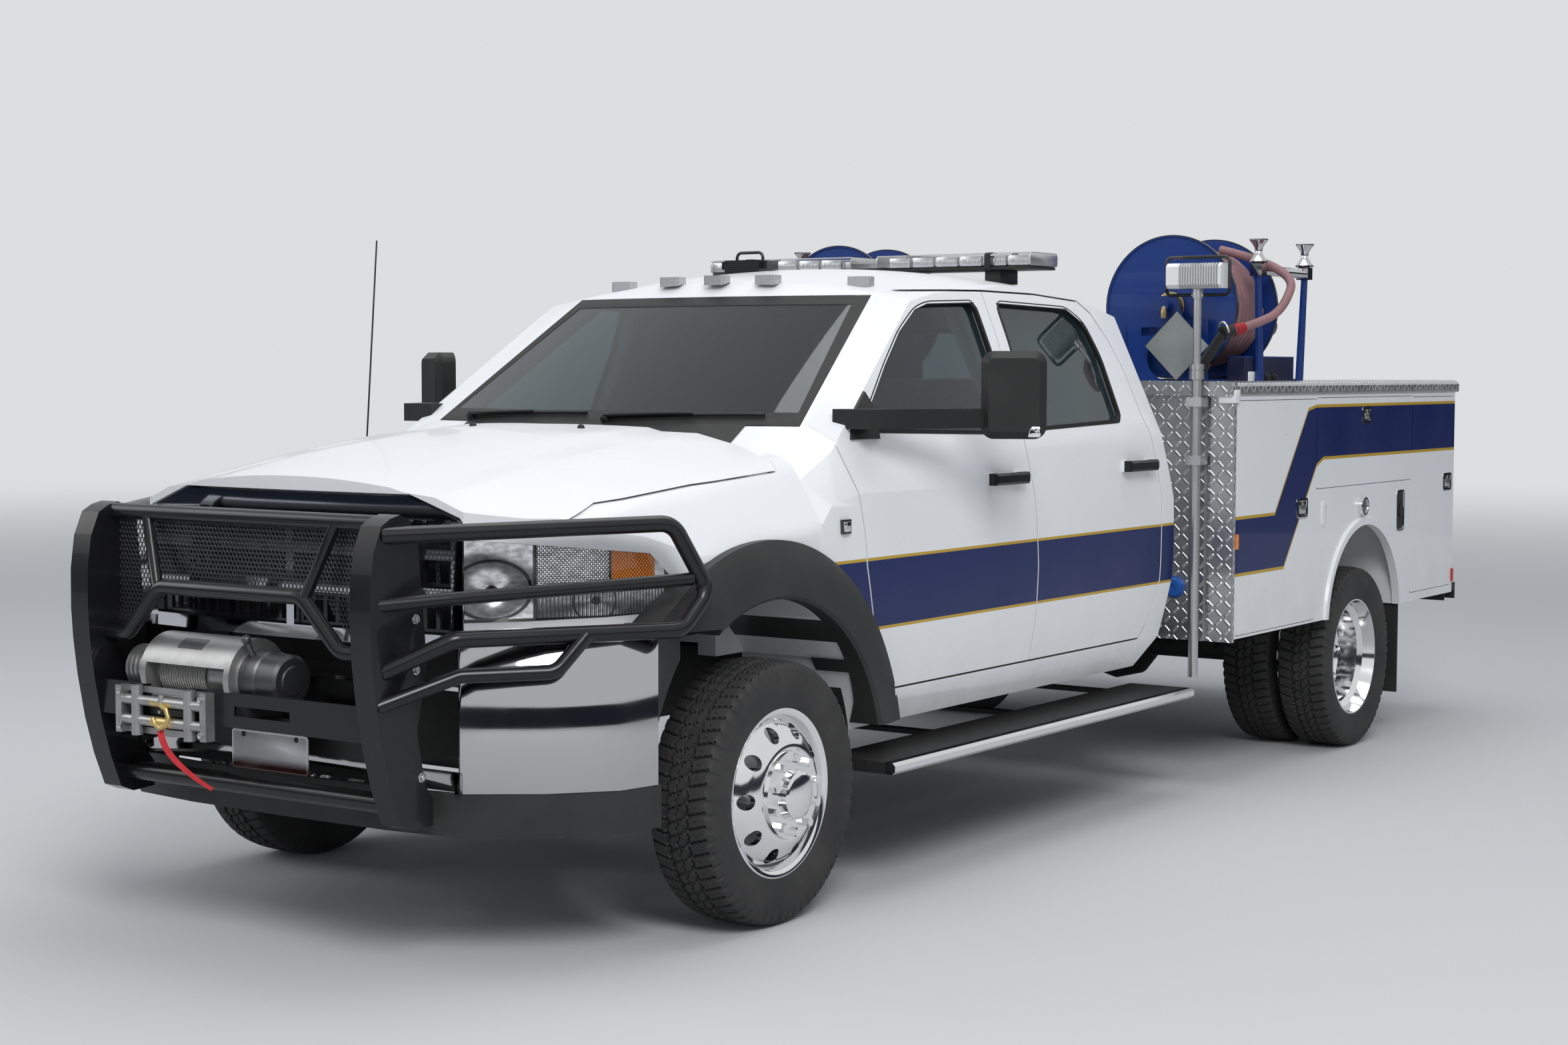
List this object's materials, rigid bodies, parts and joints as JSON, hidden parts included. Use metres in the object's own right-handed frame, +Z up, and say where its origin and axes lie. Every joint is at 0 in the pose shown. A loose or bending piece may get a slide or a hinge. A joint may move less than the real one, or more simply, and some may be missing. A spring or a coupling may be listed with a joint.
{
  "type": "brush truck",
  "caption": "Crew-cab brush truck with a service body, grille guard and winch, two hose reels on the body ledges, a light mast, roof light bar and twin rear wheels.",
  "frame": {"origin": "on the ground, under the middle of the truck's length and width", "axes": "-Y to the front of the truck, +X to its left side, +Z up"},
  "size_m": [2.7472, 7.096, 2.2429],
  "materials": {
    "white_paint": "gloss",
    "blue_paint": "gloss",
    "frame_black": "satin",
    "chassis_black": "satin",
    "guard_black": "gloss",
    "engine_bay_black": "satin",
    "cast_metal": "rough",
    "tank_black": "matte",
    "black_plastic": "matte",
    "dash_plastic": "matte",
    "step_black": "matte",
    "nozzle_black": "satin",
    "lamp_plastic": "gloss",
    "lamp_white": "satin",
    "seat_cloth": "matte",
    "glass": "clear",
    "chrome": "polished",
    "polished_wheel": "polished",
    "winch_silver": "satin",
    "tread_plate": "satin",
    "aluminium": "satin",
    "hose_rubber": "matte",
    "tyre": "matte"
  },
  "bodies": {
    "body": {"frame_rails": "frame_black", "powertrain": "cast_metal", "engine_bay": "engine_bay_black", "front_axle": "chassis_black", "rear_axle": "chassis_black", "fuel_tank": "tank_black", "cab_shell": "white_paint", "seats": "seat_cloth", "dashboard": "dash_plastic", "fixed_glass": "glass", "running_boards": "step_black", "fenders": "white_paint", "black_trim": "black_plastic", "grille": "chrome", "headlights": "lamp_plastic", "front_bumper": "chrome", "grille_guard": "guard_black", "guard_mesh": "guard_black", "winch": "winch_silver", "light_bar": "lamp_plastic", "lamps": "lamp_plastic", "service_body": "white_paint", "tread_plates": "tread_plate", "rear_bumper": "chassis_black", "reel_frames": "blue_paint", "roller_guides": "chrome", "mast_base": "aluminium", "hose": "hose_rubber", "nozzle": "nozzle_black"},
    "left_knuckle": {"left_knuckle": "cast_metal"},
    "left_front_wheel": {"left_front_rim": "polished_wheel", "left_front_tyre": "tyre"},
    "left_rear_wheels": {"left_rear_rims": "polished_wheel", "left_rear_tyres": "tyre"},
    "left_front_door": {"left_front_door": "white_paint", "left_front_door_glass": "glass", "left_mirror": "black_plastic"},
    "left_rear_door": {"left_rear_door": "white_paint", "left_rear_door_glass": "glass"},
    "left_front_hatch": {"left_front_hatch": "white_paint"},
    "left_rear_hatch": {"left_rear_hatch": "white_paint"},
    "left_middle_hatch": {"left_middle_hatch": "white_paint"},
    "left_reel": {"left_reel": "blue_paint"},
    "right_knuckle": {"right_knuckle": "cast_metal"},
    "right_front_wheel": {"right_front_rim": "polished_wheel", "right_front_tyre": "tyre"},
    "right_rear_wheels": {"right_rear_rims": "polished_wheel", "right_rear_tyres": "tyre"},
    "right_front_door": {"right_front_door": "white_paint", "right_front_door_glass": "glass", "right_mirror": "black_plastic"},
    "right_rear_door": {"right_rear_door": "white_paint", "right_rear_door_glass": "glass"},
    "right_front_hatch": {"right_front_hatch": "white_paint"},
    "right_rear_hatch": {"right_rear_hatch": "white_paint"},
    "right_middle_hatch": {"right_middle_hatch": "white_paint"},
    "right_reel": {"right_reel": "blue_paint"},
    "hood": {"hood": "white_paint"},
    "tailgate": {"tailgate": "white_paint"},
    "mast_top": {"mast_top": "lamp_white"}
  },
  "joints": [
    {"name": "left_steering", "type": "hinge", "parent": "body", "child": "left_knuckle", "pos_m": [0.79, -2.251, 0.404], "axis": [0, 0, 1], "range_deg": [-35, 35]},
    {"name": "left_front_roll", "type": "hinge", "parent": "left_knuckle", "child": "left_front_wheel", "pos_m": [0.956, -2.251, 0.404], "axis": [1, 0, 0], "continuous": true},
    {"name": "left_rear_roll", "type": "hinge", "parent": "body", "child": "left_rear_wheels", "pos_m": [0.942, 2.153, 0.404], "axis": [1, 0, 0], "continuous": true},
    {"name": "left_front_door_hinge", "type": "hinge", "parent": "body", "child": "left_front_door", "pos_m": [1.001, -1.773, 1.1], "axis": [0, 0, -1], "range_deg": [0, 70]},
    {"name": "left_rear_door_hinge", "type": "hinge", "parent": "body", "child": "left_rear_door", "pos_m": [1.003, -0.615, 1.1], "axis": [0, 0, -1], "range_deg": [0, 70]},
    {"name": "left_front_hatch_hinge", "type": "hinge", "parent": "body", "child": "left_front_hatch", "pos_m": [1.19, 0.795, 1.09], "axis": [0, 0, -1], "range_deg": [0, 90]},
    {"name": "left_rear_hatch_hinge", "type": "hinge", "parent": "body", "child": "left_rear_hatch", "pos_m": [1.19, 2.795, 1.1], "axis": [0, 0, -1], "range_deg": [0, 90]},
    {"name": "left_middle_hatch_hinge", "type": "hinge", "parent": "body", "child": "left_middle_hatch", "pos_m": [1.19, 2.203, 1.181], "axis": [0, 1, 0], "range_deg": [0, 90]},
    {"name": "left_reel_spin", "type": "hinge", "parent": "body", "child": "left_reel", "pos_m": [0.82, 1.149, 1.948], "axis": [0, 1, 0], "continuous": true},
    {"name": "right_steering", "type": "hinge", "parent": "body", "child": "right_knuckle", "pos_m": [-0.79, -2.251, 0.404], "axis": [0, 0, 1], "range_deg": [-35, 35]},
    {"name": "right_front_roll", "type": "hinge", "parent": "right_knuckle", "child": "right_front_wheel", "pos_m": [-0.956, -2.251, 0.404], "axis": [1, 0, 0], "continuous": true},
    {"name": "right_rear_roll", "type": "hinge", "parent": "body", "child": "right_rear_wheels", "pos_m": [-0.942, 2.153, 0.404], "axis": [1, 0, 0], "continuous": true},
    {"name": "right_front_door_hinge", "type": "hinge", "parent": "body", "child": "right_front_door", "pos_m": [-1.001, -1.773, 1.1], "axis": [0, 0, 1], "range_deg": [0, 70]},
    {"name": "right_rear_door_hinge", "type": "hinge", "parent": "body", "child": "right_rear_door", "pos_m": [-1.003, -0.615, 1.1], "axis": [0, 0, 1], "range_deg": [0, 70]},
    {"name": "right_front_hatch_hinge", "type": "hinge", "parent": "body", "child": "right_front_hatch", "pos_m": [-1.19, 0.795, 1.09], "axis": [0, 0, 1], "range_deg": [0, 90]},
    {"name": "right_rear_hatch_hinge", "type": "hinge", "parent": "body", "child": "right_rear_hatch", "pos_m": [-1.19, 2.795, 1.1], "axis": [0, 0, 1], "range_deg": [0, 90]},
    {"name": "right_middle_hatch_hinge", "type": "hinge", "parent": "body", "child": "right_middle_hatch", "pos_m": [-1.19, 2.203, 1.181], "axis": [0, -1, 0], "range_deg": [0, 90]},
    {"name": "right_reel_spin", "type": "hinge", "parent": "body", "child": "right_reel", "pos_m": [-0.82, 1.149, 1.948], "axis": [0, 1, 0], "continuous": true},
    {"name": "hood_hinge", "type": "hinge", "parent": "body", "child": "hood", "pos_m": [0, -1.976, 1.395], "axis": [-1, 0, 0], "range_deg": [0, 55]},
    {"name": "tailgate_hinge", "type": "hinge", "parent": "body", "child": "tailgate", "pos_m": [0, 3.36, 0.927], "axis": [-1, 0, 0], "range_deg": [0, 90]},
    {"name": "mast_slide", "type": "slide", "parent": "body", "child": "mast_top", "axis": [0, 0, 1], "range_m": [0, 0.85]}
  ],
  "couplings": [
    {"joint": "right_steering", "follows": "left_steering", "ratio": 1}
  ]
}
